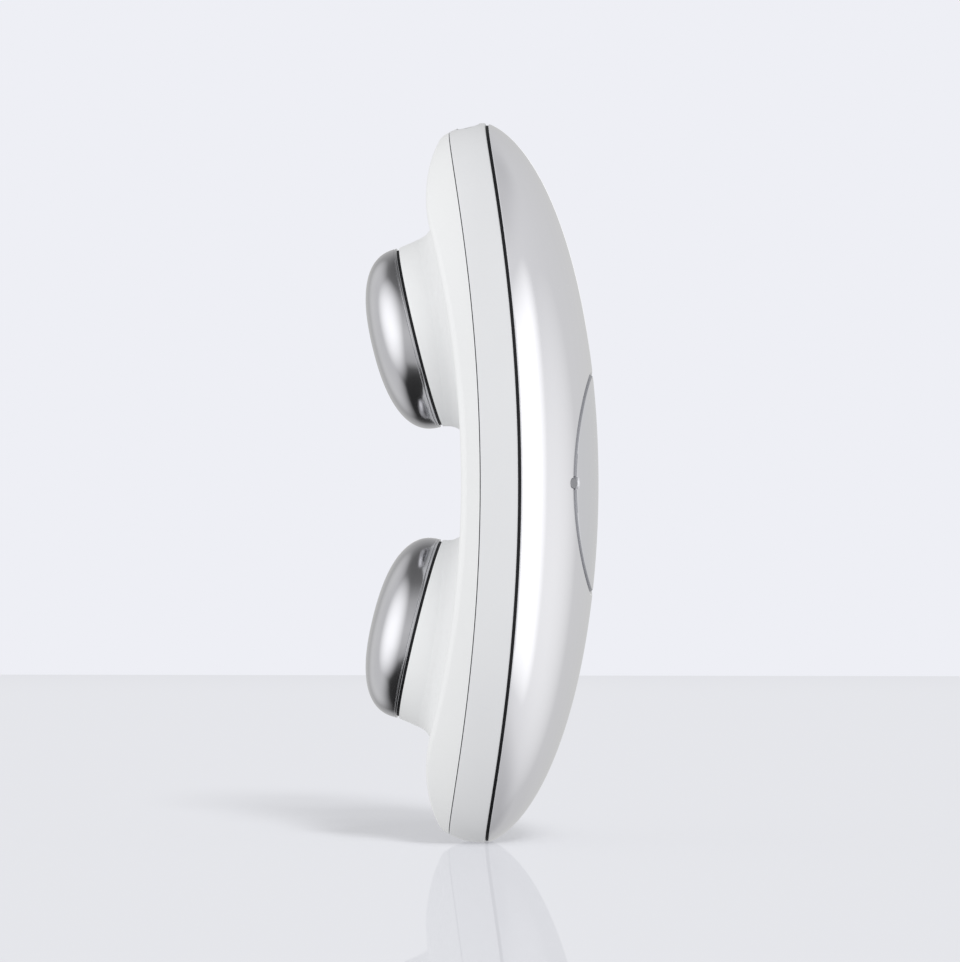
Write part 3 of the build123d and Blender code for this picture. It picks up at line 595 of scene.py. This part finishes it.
# ---- Sub-assemblies ----
@dataclass(frozen=True)
class ButtonGroup:
    """Round button in the front cover, with the status light at its edge."""

    button_r: float = 17.5
    gap: float = 0.4
    edge: float = 0.5
    # radius where the painted joint shade starts on the button
    shade_ring_inner_r: float = 17.1
    skirt: float = 1.2
    flange_r: float = 18.9
    flange_back: float = 10.9
    flange_front: float = 12.1
    boss_r: float = 2.5
    boss_back: float = 10.55
    pip_width: float = 2.4
    pip_height: float = 1.6
    pip_recess: float = 0.1
    pip_edge: float = 0.15
    pip_back: float = 8.5
    pip_glue_gap: float = 0.05
    pip_key_gap: float = 0.25
    columns: int = 216
    rings: int = 30
    inner_rings: int = 12
    pip_columns: int = 48
    notch_half_angle: float = radians(4.5)
    notch_columns: int = 30

    @property
    def hole_r(self) -> float:
        """Radius of the hole in the cover."""
        return self.button_r + self.gap

    @property
    def pip_y(self) -> float:
        """Middle of the status light, on the joint between button and cover."""
        return self.button_r + self.gap / 2

    def angles(self) -> list[float]:
        """Angles round the button, closer together at the status light.

        Returns:
            The angles in order, once round.
        """
        near = [LIGHT_ANGLE + self.notch_half_angle * (2 * step / self.notch_columns - 1)
                for step in range(self.notch_columns + 1)]
        start, end = near[-1], near[0] + 2 * pi
        far = [start + (end - start) * step / self.columns for step in range(1, self.columns)]
        return near + far

    def notched(self, angle: float, radius: float, clearance: float, outwards: bool) -> float:
        """Radius of a round edge that gives way to the status light.

        Args:
            angle: Angle round the button.
            radius: Radius away from the light.
            clearance: Room round the light.
            outwards: True for the cover's hole, False for the button.

        Returns:
            The radius at that angle.
        """
        way = 1.0 if outwards else -1.0
        middle = self.pip_y + way * (self.pip_width - self.pip_height) / 2
        end_r = self.pip_height / 2 + clearance
        aside = middle * sin(angle - LIGHT_ANGLE)
        if abs(aside) >= end_r or cos(angle - LIGHT_ANGLE) < 0:
            return radius
        bite = middle * cos(angle - LIGHT_ANGLE) + way * sqrt(end_r ** 2 - aside ** 2)
        return max(radius, bite) if outwards else min(radius, bite)

    def button_profile(self, angle: float) -> list[Vector]:
        """Half section of the button.

        Args:
            angle: Angle round the X axis, 0 upwards.

        Returns:
            Points from the middle of its face to the end of its boss.
        """
        rim = self.notched(angle, self.button_r, self.pip_key_gap, outwards=False)
        flange = max(rim + SMALL_EDGE, self.notched(angle, self.flange_r, self.pip_key_gap, outwards=False))
        bore = min(self.button_r - self.skirt, rim - self.skirt / 2)
        wall = FORM.cover_wall
        rim_lift = FORM.lift_at_radius(angle, rim)
        bore_lift = FORM.lift_at_radius(angle, bore, wall)
        boss_lift = FORM.lift_at_radius(angle, self.boss_r, wall)
        face_edge = FORM.dome_point(angle, rim_lift)
        bore_edge = FORM.dome_point(angle, bore_lift, wall)
        boss_edge = FORM.dome_point(angle, boss_lift, wall)
        boss_foot = at_radius(angle, self.boss_r, self.boss_back)
        steps = ((rim, self.flange_front), (flange, self.flange_front), (flange, self.flange_back),
                 (bore, self.flange_back))
        corners = [face_edge, *(at_radius(angle, *step) for step in steps), bore_edge]
        sides = [Side(dome_line(angle, pi / 2, rim_lift), self.rings)]
        sides += [Side(straight(*pair), 3, self.edge if place == 0 else SMALL_EDGE)
                  for place, pair in enumerate(zip(corners, corners[1:]))]
        sides += [Side(dome_line(angle, bore_lift, boss_lift, wall), self.inner_rings),
                  Side(straight(boss_edge, boss_foot), 3),
                  Side(straight(boss_foot, at_radius(angle, 0, self.boss_back)), 3)]
        return profile(sides, closed=False)

    def pip_profile(self, turn: float) -> list[Vector]:
        """Half section of the status light.

        Args:
            turn: Angle round the light's own middle, 0 upwards.

        Returns:
            Points from the middle of its face to its back.
        """
        end_r = self.pip_height / 2
        middle = Vector((0.0, -self.pip_y, 0.0))
        shift = Vector((0.0, (self.pip_width - self.pip_height) / 2 * (1 if sin(turn) > 0 else -1), 0.0))
        rim = middle + shift + Vector((0.0, end_r * sin(turn), end_r * cos(turn)))

        def on_face(point: Vector) -> Vector:
            """Moves a point along X onto the light's face.

            Args:
                point: Place in the YZ plane, from the body's middle.

            Returns:
                The point there on the light's face.
            """
            depth, width, height = (size - self.pip_recess for size in FORM.dome_sizes)
            x = FORM.dome_x + depth * sqrt(1 - (point.y / width) ** 2 - (point.z / height) ** 2)
            return Vector((x, point.y, FORM.mid_z + point.z))

        def at_back(point: Vector) -> Vector:
            """The point, moved along X to the light's back."""
            return Vector((self.pip_back, point.y, FORM.mid_z + point.z))

        sides = [Side(lambda share: on_face(middle.lerp(rim, share)), 5),
                 Side(straight(on_face(rim), at_back(rim)), 4, self.pip_edge),
                 Side(straight(at_back(rim), at_back(middle)), 3)]
        return profile(sides, closed=False)

    def paint_joint_shade(self, button: Piece) -> None:
        """Paints the button's rounded edge and side grey: painted shade for the shadow in the joint round
        the button.

        Args:
            button: The button, which already has its own finish.
        """
        button.data.materials.append(PAINTED_JOINT_SHADE.material())
        # faces outside that radius get the painted joint shade
        for face in button.data.polygons:
            spoke = Vector((face.center.y, face.center.z - FORM.mid_z * MM)).length
            if spoke > self.shade_ring_inner_r * MM:
                face.material_index = 1

    def build(self) -> None:
        """Makes and dresses the button and the status light."""
        button = loft("round_button", [self.button_profile(angle) for angle in self.angles()], capped=True)
        keep_flats_flat(button)
        seat(button, BUTTON_ABS, "button", "front_button", "front_button")
        self.paint_joint_shade(button)
        turns = [2 * pi * (step + 0.5) / self.pip_columns for step in range(self.pip_columns)]
        pip = loft("status_light_pip", [self.pip_profile(turn) for turn in turns], capped=True)
        seat(pip, SMOKE_CLEAR, "housing", "light_pipe", "status_light_pipe")


@dataclass(frozen=True)
class Housing:
    """Front cover, side band and the gasket between them, round the button group."""

    button: ButtonGroup
    cover_edge: float = 0.22
    band_front_edge: float = 0.22
    band_back_edge: float = 0.03
    collar_r: float = 19.3
    collar_back: float = 12.15
    gasket_recess: float = 0.4
    gasket_depth: float = 2.2
    gasket_slack: float = 0.02
    socket_x: float = -1.5
    socket_width: float = 9.34
    socket_height: float = 3.56
    socket_cut: float = 11.0
    socket_columns: int = 64
    columns: int = 240
    rings: int = 44
    band_rings: int = 16

    def cover_profile(self, angle: float) -> list[Vector]:
        """Section of the front cover and the collar round its hole.

        Args:
            angle: Angle round the X axis, 0 upwards.

        Returns:
            The points of a closed loop.
        """
        wall = FORM.cover_wall
        hole = self.button.notched(angle, self.button.hole_r, self.button.pip_glue_gap, outwards=True)
        hole_lift = FORM.lift_at_radius(angle, hole)
        seam_lift = FORM.lift_at_seam(angle)
        inner_seam_lift = FORM.lift_at_seam(angle, wall)
        collar_lift = FORM.lift_at_radius(angle, self.collar_r, wall)
        hole_edge = FORM.dome_point(angle, hole_lift)
        seam_edge = FORM.dome_point(angle, seam_lift)
        inner_seam_edge = FORM.dome_point(angle, inner_seam_lift, wall)
        collar_edge = FORM.dome_point(angle, collar_lift, wall)
        collar_foot = at_radius(angle, self.collar_r, self.collar_back)
        hole_foot = at_radius(angle, hole, self.collar_back)
        return profile([
            Side(dome_line(angle, hole_lift, seam_lift), self.rings, self.button.edge),
            Side(straight(seam_edge, inner_seam_edge), 4, self.cover_edge),
            Side(dome_line(angle, inner_seam_lift, collar_lift, wall), self.rings // 2),
            Side(straight(collar_edge, collar_foot), 3),
            Side(straight(collar_foot, hole_foot), 2),
            Side(straight(hole_foot, hole_edge), 4),
        ], closed=True)

    def band_profile(self, turn: float) -> list[Vector]:
        """Section of the side band.

        Args:
            turn: Angle round the outline, 0 at the upper tip.

        Returns:
            The points of a closed loop.
        """
        front_r = FORM.seam_r - FORM.seam_gap / 2
        back_r = FORM.seam_r - FORM.band_depth

        def across(inset: float, first: float, last: float) -> Line:
            """Line across the band, between two radii."""
            return lambda share: FORM.wall_point(turn, first + (last - first) * share, inset)

        def inwards(radius: float, first: float, last: float) -> Line:
            """Line through the band's wall, between two insets."""
            return straight(FORM.wall_point(turn, radius, first), FORM.wall_point(turn, radius, last))

        return profile([
            Side(across(0.0, front_r, back_r), self.band_rings, self.band_front_edge),
            Side(inwards(back_r, 0.0, FORM.band_wall), 3, self.band_back_edge),
            Side(across(FORM.band_wall, back_r, front_r), self.band_rings // 2),
            Side(inwards(front_r, FORM.band_wall, 0.0), 3),
        ], closed=True)

    def gasket_profile(self, turn: float) -> list[Vector]:
        """Section of the gasket that fills the front seam below its surface.

        Args:
            turn: Angle round the outline, 0 at the upper tip.

        Returns:
            The points of a closed loop.
        """
        half = FORM.seam_gap / 2 - self.gasket_slack
        outer, inner = self.gasket_recess, self.gasket_depth
        corners = [(half, outer), (half, inner), (-half, inner), (-half, outer)]
        points = [FORM.wall_point(turn, FORM.seam_r + shift, inset) for shift, inset in corners]
        return profile([Side(straight(*pair)) for pair in zip(points, points[1:] + points[:1])], closed=True)

    def socket_cutter(self) -> Piece:
        """Rounded bar through the upper end, where the charging plug goes in.

        Returns:
            The closed mesh to take away.
        """
        end_r = self.socket_height / 2
        low, high = FORM.stand_height - self.socket_cut, FORM.stand_height + FORM.band_wall
        columns = []
        for step in range(self.socket_columns):
            turn = 2 * pi * (step + 0.5) / self.socket_columns
            shift = (self.socket_width / 2 - end_r) * (1 if cos(turn) > 0 else -1)
            side = Vector((self.socket_x + end_r * sin(turn), shift + end_r * cos(turn), 0.0))
            middle = Vector((self.socket_x, 0.0, 0.0))
            columns.append([middle + Vector((0, 0, low)), side + Vector((0, 0, low)),
                            side + Vector((0, 0, high)), middle + Vector((0, 0, high))])
        return loft("socket_cutter", columns, capped=True)

    def build(self) -> None:
        """Makes and dresses the covers."""
        cover = loft("glossy_front_cover", [self.cover_profile(angle) for angle in self.button.angles()])
        keep_flats_flat(cover)
        seat(cover, GLOSSY_ABS, "housing", "front_cover", "front_cover")
        turns = [2 * pi * (step + 0.5) / self.columns for step in range(self.columns)]
        band = loft("satin_side_band", [self.band_profile(turn) for turn in turns])
        cut_away(band, self.socket_cutter())
        keep_flats_flat(band)
        seat(band, SATIN_ABS, "housing", "side_band", "side_band")
        gasket = loft("seam_gasket", [self.gasket_profile(turn) for turn in turns])
        seat(gasket, BLACK_SILICONE, "housing", "front_gasket", "front_gasket")


@dataclass(frozen=True)
class SteelDome:
    """One pressed steel electrode: a dome with a lip, and a stud on its axis."""

    name: str
    node: str
    side: int
    radius: float = 14.85
    height: float = 7.55
    wall: float = 1.4
    roundness: float = 2.5
    lip: float = 0.34
    groove: float = 0.14
    groove_depth: float = 0.1
    groove_edge: float = 0.04
    groove_root: float = 0.02
    lip_edge: float = 0.1
    boss_r: float = 3.5
    stud_r: float = 1.5
    stud_length: float = 5.75
    seal_height: float = 0.45
    post_up: float = 23.6
    post_rise: float = 6.1
    post_tilt: float = radians(13.7)
    columns: int = 200
    rings: int = 60
    inner_rings: int = 24

    def plane(self) -> Matrix:
        """Placement of the dome: its rim on the seal, its axis out of the post.

        Returns:
            The matrix from the dome's own axes to the frame's.
        """
        x = FORM.back_mid_x - FORM.saddle_r + sqrt(FORM.saddle_r ** 2 - self.post_up ** 2) - self.post_rise
        outwards = Vector((-cos(self.post_tilt), 0.0, -self.side * sin(self.post_tilt)))
        across = Vector((0.0, 1.0, 0.0))
        third = outwards.cross(across)
        origin = Vector((x, 0.0, FORM.mid_z + self.side * self.post_up)) + outwards * self.seal_height
        turned = Matrix((across, third, outwards)).transposed().to_4x4()
        return Matrix.Translation(origin) @ turned

    def arch(self, radius: float, height: float, end_height: float) -> Line:
        """Half section of a dome, from its top down to a height.

        Args:
            radius: Radius at its foot.
            height: Height at its top.
            end_height: Where the line ends.

        Returns:
            A superellipse in the XZ plane.
        """
        power = 2 / self.roundness
        end = acos((end_height / height) ** (1 / power))

        def point(share: float) -> Vector:
            """Point at a share of the way down."""
            turn = end * share ** (1 / power)
            return Vector((radius * sin(turn) ** power, 0.0, height * cos(turn) ** power))

        return point

    def section(self) -> list[Vector]:
        """Half section of the whole electrode.

        Returns:
            Points from its top to the end of its stud.
        """
        groove_top = self.lip + self.groove
        outer = self.arch(self.radius, self.height, groove_top)
        inner_r, inner_height = self.radius - self.wall, self.height - self.wall
        boss_share = asin((self.boss_r / inner_r) ** (self.roundness / 2))
        boss_height = inner_height * cos(boss_share) ** (2 / self.roundness)
        inner = self.arch(inner_r, inner_height, 0.0)
        start = (boss_share / (pi / 2)) ** (2 / self.roundness)
        rim = ((self.radius - self.groove_depth, self.lip + self.groove / 2), (self.radius, self.lip),
               (self.radius, 0), (inner_r, 0))
        stud = ((self.boss_r, boss_height), (self.boss_r, 0), (self.stud_r, 0),
                (self.stud_r, -self.stud_length), (0, -self.stud_length))
        corners = [outer(1.0), *(Vector((radius, 0, height)) for radius, height in rim)]
        tail = [Vector((radius, 0, height)) for radius, height in stud]
        edges = [self.groove_edge, self.groove_root, self.groove_edge, self.lip_edge]
        sides = [Side(outer, self.rings)]
        sides += [Side(straight(*pair), 2, edge) for pair, edge in zip(zip(corners, corners[1:]), edges)]
        sides += [Side(lambda share: inner(1 + (start - 1) * share), self.inner_rings)]
        sides += [Side(straight(*pair), 3) for pair in zip(tail, tail[1:])]
        return profile(sides, closed=False)

    def build(self) -> None:
        """Makes and dresses the electrode."""
        plane = self.plane()
        section = self.section()
        columns = []
        for step in range(self.columns):
            spin = Matrix.Rotation(2 * pi * step / self.columns, 4, "Z")
            columns.append([plane @ (spin @ point) for point in section])
        dome = loft(self.name, columns, capped=True)
        seat(dome, POLISHED_STEEL, "housing", "electrode", self.node)


class CarriedNodes:
    """The frame's own nodes that stay in sight: their shape is right, so they are only dressed."""

    def __init__(self, record: dict) -> None:
        """Reads which material slot each node belongs to."""
        self.slots = {part["node"]: part["material_slot"] for part in record["subparts"]}

    def dress(self) -> None:
        """Gives every node the finish of its material slot."""
        for name, node in frame["nodes"].items():
            finish = FINISHES[self.slots[name]]
            for slot in node.material_slots:
                slot.material = finish.material()
            log.info("%s: %s", name, finish.name)


# ---- Studio ----
def combine(tree: Tree, operation: str, *sockets: Socket) -> Socket:
    """Runs a row of values through one arithmetic operation, from the left.

    Args:
        tree: The tree that gets the nodes.
        operation: What the Math nodes do.
        sockets: The values in order.

    Returns:
        The result.
    """
    result = sockets[0]
    for socket in sockets[1:]:
        node = add_node(tree, "Math", links={0: result, 1: socket}, operation=operation)
        result = node.outputs[0]
    return result


@dataclass(frozen=True)
class SoftBox:
    """Softbox that stands far off, as a rectangle of light in the room.

    Attributes:
        azimuth: Degrees from the camera's side, -Y, towards +X.
        elevation: Degrees above the device's middle.
        half_width: Half its width in degrees.
        half_height: Half its height in degrees.
        blur: How far its edges fade, in degrees.
        radiance: Brightness of its face, where 1 shows as white.
    """

    azimuth: float
    elevation: float
    half_width: float
    half_height: float
    blur: float
    radiance: float

    def light(self, tree: Tree, way: Socket) -> Socket:
        """Adds the softbox to a room.

        Args:
            tree: The world's nodes.
            way: The direction that is looked in.

        Returns:
            The light that comes from there.
        """
        turn = (0.0, -radians(self.elevation), radians(self.azimuth - 90))
        turned = add_node(tree, "VectorRotate", {"Rotation": turn}, {"Vector": way},
                          rotation_type="EULER_XYZ", invert=True).outputs[0]
        ahead, across, up = add_node(tree, "SeparateXYZ", links={0: turned}).outputs
        shares = [add_node(tree, "Math", {1: 0.0}, {0: ahead}, operation="GREATER_THAN").outputs[0]]
        for aside, half in ((across, self.half_width), (up, self.half_height)):
            slope = combine(tree, "DIVIDE", aside, ahead)
            slope = add_node(tree, "Math", links={0: slope}, operation="ABSOLUTE").outputs[0]
            fade = {1: tan(radians(half + self.blur)), 2: tan(radians(half - self.blur))}
            share = add_node(tree, "MapRange", fade, {0: slope}, interpolation_type="SMOOTHSTEP")
            shares.append(share.outputs[0])
        share = combine(tree, "MULTIPLY", *shares)
        face = add_node(tree, "Math", {1: self.radiance}, {0: share}, operation="MULTIPLY")
        return face.outputs[0]


class Lights(Enum):
    """What a lamp is kept for, by the state of the floor in its list of objects."""

    FLOOR = "INCLUDE"
    DEVICE = "EXCLUDE"


@dataclass(frozen=True)
class Lamp:
    """Large lamp so far off that its light is even. Glossy surfaces show the softboxes instead.

    Attributes:
        name: The lamp's name.
        azimuth: Degrees from the camera's side, -Y, towards +X.
        elevation: Degrees above the device's middle.
        spread: Degrees that it takes up, which soften its shadows.
        share: How bright it makes white paper that faces it.
        lights: What it is kept for.
    """

    name: str
    azimuth: float
    elevation: float
    spread: float
    share: float
    lights: Lights

    def build(self, floor: Piece) -> None:
        """Adds the lamp.

        Args:
            floor: The floor, which has lamps of its own.
        """
        lamp = bpy.data.lights.new(self.name, "SUN")
        lamp.energy = self.share * pi
        lamp.angle = radians(self.spread)
        holder = new_object(self.name, lamp)
        azimuth, elevation = radians(self.azimuth), radians(self.elevation)
        away = Vector((sin(azimuth) * cos(elevation), -cos(azimuth) * cos(elevation), sin(elevation)))
        holder.rotation_euler = away.to_track_quat("Z", "Y").to_euler()
        holder.visible_glossy = False
        lit = bpy.data.collections.new(self.name)
        lit.objects.link(floor)
        lit.collection_objects[0].light_linking.link_state = self.lights.value
        holder.light_linking.receiver_collection = lit


@dataclass(frozen=True)
class Studio:
    """Pale floor and backdrop, the room that lights the device, and the camera.

    Attributes:
        softboxes: Show in glossy surfaces: a bright patch with a glow beside it in the domes, the glow
            of the backdrop behind the mirror image in the floor, and a white strip with its glow on
            the front cover.
        flags: Black cards, whose radiance is the share of the light that they hold back. They darken
            the front cover beside the upper and lower ends of its seam.
        room_seen: Brightness of the room in glossy surfaces, by the sine of the elevation.
        room_light: Brightness of the room for everything else.
        front_share: How much brighter glossy surfaces see the room in front than behind.
        front_reach: Where that change ends, by how far a direction points to the front or back.
    """

    camera_azimuth: float = 3.0
    camera_distance: float = 1.0
    aim_x: float = 0.323
    aim_z: float = 58.2
    picture_long_side: int = 962
    mm_per_pixel: float = 0.16156
    sensor: float = 36.0
    floor_back: float = 0.852
    floor_reach: float = 3.0
    backdrop: str = "#EEEFF5"
    floor: str = "#A6A7AB"
    floor_glow_share: float = 0.45
    floor_mirror_share: float = 0.16
    floor_mirror_blur: float = 0.01
    lamps: tuple[Lamp, ...] = (
        Lamp("low_floor_lamp", 18.0, 36.0, 9.0, 0.8, Lights.FLOOR),
        Lamp("middle_floor_lamp", 18.0, 48.0, 10.0, 0.55, Lights.FLOOR),
        Lamp("high_floor_lamp", 18.0, 64.0, 14.0, 0.25, Lights.FLOOR),
        Lamp("key_lamp", 20.0, 12.0, 30.0, 0.25, Lights.DEVICE),
        Lamp("left_lamp", -70.0, 8.0, 60.0, 0.31, Lights.DEVICE),
    )
    softboxes: tuple[SoftBox, ...] = (
        SoftBox(-68.0, 6.0, 31.5, 30.5, 29.5, 1.88),
        SoftBox(-115.0, 0.0, 35.0, 44.0, 18.0, 0.88),
        SoftBox(183.0, 4.1, 5.6, 2.5, 0.4, 1.15),
        SoftBox(87.0, -1.0, 19.0, 26.5, 9.0, 2.6),
        SoftBox(105.0, -10.0, 28.0, 24.0, 22.0, 1.4),
    )
    flags: tuple[SoftBox, ...] = (
        SoftBox(108.0, 58.0, 17.0, 18.0, 10.0, 1.0),
        SoftBox(106.0, -58.0, 17.0, 16.0, 10.0, 0.9),
    )
    room_seen: tuple[tuple[float, float], ...] = (
        (-1.0, 0.03), (-0.8, 0.04), (-0.67, 0.1), (-0.53, 0.45), (-0.3, 0.55), (0.0, 0.6), (0.1, 0.6),
        (0.4, 0.52), (0.6, 0.45), (0.74, 0.31), (0.87, 0.18), (1.0, 0.15))
    room_light: tuple[tuple[float, float], ...] = ((-1.0, 0.67), (0.0, 0.57), (1.0, 0.74))
    front_share: float = 1.35
    front_reach: float = 0.6

    def build_camera(self) -> None:
        """Adds the camera, level with the device."""
        lens = bpy.data.cameras.new("camera")
        lens.sensor_width = self.sensor
        lens.lens = self.sensor * self.camera_distance / (self.picture_long_side * self.mm_per_pixel * MM)
        camera = new_object("camera", lens)
        turn = radians(self.camera_azimuth)
        aim = Vector((self.aim_x, 0.0, self.aim_z)) * MM
        camera.location = aim + Vector((sin(turn), -cos(turn), 0.0)) * self.camera_distance
        camera.rotation_euler = (pi / 2, 0.0, turn)
        bpy.context.scene.camera = camera

    def build_floor(self) -> Piece:
        """Adds the floor, with a faint mirror image.

        Returns:
            The floor, which only the camera sees: the device is lit by the room.
        """
        mesh = bpy.data.meshes.new("pale_floor")
        reach, back = self.floor_reach, self.floor_back
        corners = ((-reach, -reach), (reach, -reach), (reach, back), (-reach, back))
        mesh.from_pydata([(x, y, 0) for x, y in corners], [], [(0, 1, 2, 3)])
        floor = new_object("pale_floor", mesh)
        material = bpy.data.materials.new("pale_floor")
        tree = empty_tree(material)
        matte = add_node(tree, "BsdfDiffuse", {"Color": linear(self.floor)}).outputs[0]
        glow = add_node(tree, "Emission", {"Color": linear(self.backdrop)}).outputs[0]
        mirror = add_node(tree, "BsdfGlossy", {"Roughness": self.floor_mirror_blur}).outputs[0]
        pale = add_node(tree, "MixShader", {0: self.floor_glow_share}, {1: matte, 2: glow}).outputs[0]
        polished = add_node(tree, "MixShader", {0: self.floor_mirror_share}, {1: pale, 2: mirror}).outputs[0]
        clear = add_node(tree, "BsdfTransparent").outputs[0]
        seen = add_node(tree, "LightPath").outputs["Is Camera Ray"]
        surface = add_node(tree, "MixShader", links={0: seen, 1: clear, 2: polished}).outputs[0]
        add_node(tree, "OutputMaterial", links={"Surface": surface})
        mesh.materials.append(material)
        return floor

    def layers(self, tree: Tree, height: Socket, stops: tuple[tuple[float, float], ...]) -> Socket:
        """Brightness of a room that changes with the height looked at.

        Args:
            tree: The world's nodes.
            height: Sine of the elevation.
            stops: Sines with their brightness, from the lowest.

        Returns:
            The brightness.
        """
        share = add_node(tree, "MapRange", {1: -1.0, 2: 1.0}, {0: height}).outputs[0]
        ramp = add_node(tree, "ValToRGB", links={0: share})
        while len(ramp.color_ramp.elements) < len(stops):
            ramp.color_ramp.elements.new(0.5)
        for stop, (sine, brightness) in zip(ramp.color_ramp.elements, stops):
            stop.position = (sine + 1) / 2
            stop.color = (brightness, brightness, brightness, 1.0)
        return ramp.outputs[0]

    def build_world(self) -> None:
        """Adds the room: one for what it lights, one for glossy surfaces and a backdrop to look at."""
        world = bpy.data.worlds.new("studio")
        world.cycles.sampling_method = "NONE"
        bpy.context.scene.world = world
        tree = empty_tree(world)
        way = add_node(tree, "TexCoord").outputs["Generated"]
        _, depth, height = add_node(tree, "SeparateXYZ", links={0: way}).outputs
        fade = {1: -self.front_reach, 2: self.front_reach, 3: self.front_share, 4: 1.0}
        towards_back = add_node(tree, "MapRange", fade, {0: depth}).outputs[0]
        seen = combine(tree, "MULTIPLY", self.layers(tree, height, self.room_seen), towards_back)
        seen = combine(tree, "MAXIMUM", seen, *(box.light(tree, way) for box in self.softboxes))
        for flag in self.flags:
            held = flag.light(tree, way)
            left = add_node(tree, "Math", {0: 1.0}, {1: held}, operation="SUBTRACT").outputs[0]
            seen = combine(tree, "MULTIPLY", seen, left)
        light = self.layers(tree, height, self.room_light)
        rays = add_node(tree, "LightPath")
        lit = add_node(tree, "Background", links={"Color": light}).outputs[0]
        mirrored = add_node(tree, "Background", links={"Color": seen}).outputs[0]
        shown = add_node(tree, "Background", {"Color": linear(self.backdrop)}).outputs[0]
        room = add_node(tree, "MixShader",
                        links={0: rays.outputs["Is Glossy Ray"], 1: lit, 2: mirrored}).outputs[0]
        surface = add_node(tree, "MixShader",
                           links={0: rays.outputs["Is Camera Ray"], 1: room, 2: shown}).outputs[0]
        add_node(tree, "OutputWorld", links={"Surface": surface})

    def build(self) -> None:
        """Sets up the whole studio."""
        self.build_camera()
        self.build_world()
        floor = self.build_floor()
        for lamp in self.lamps:
            lamp.build(floor)
        bpy.context.scene.view_settings.view_transform = "Standard"


def main() -> None:
    """Builds the device and its studio in order."""
    logging.basicConfig(level=logging.INFO, format="%(name)s: %(message)s")
    CarriedNodes(frame["record"]).dress()
    button = ButtonGroup()
    button.build()
    Housing(button).build()
    SteelDome("upper_steel_dome", "upper_electrode", 1).build()
    SteelDome("lower_steel_dome", "lower_electrode", -1).build()
    Studio().build()


if __name__ == "__main__":
    main()
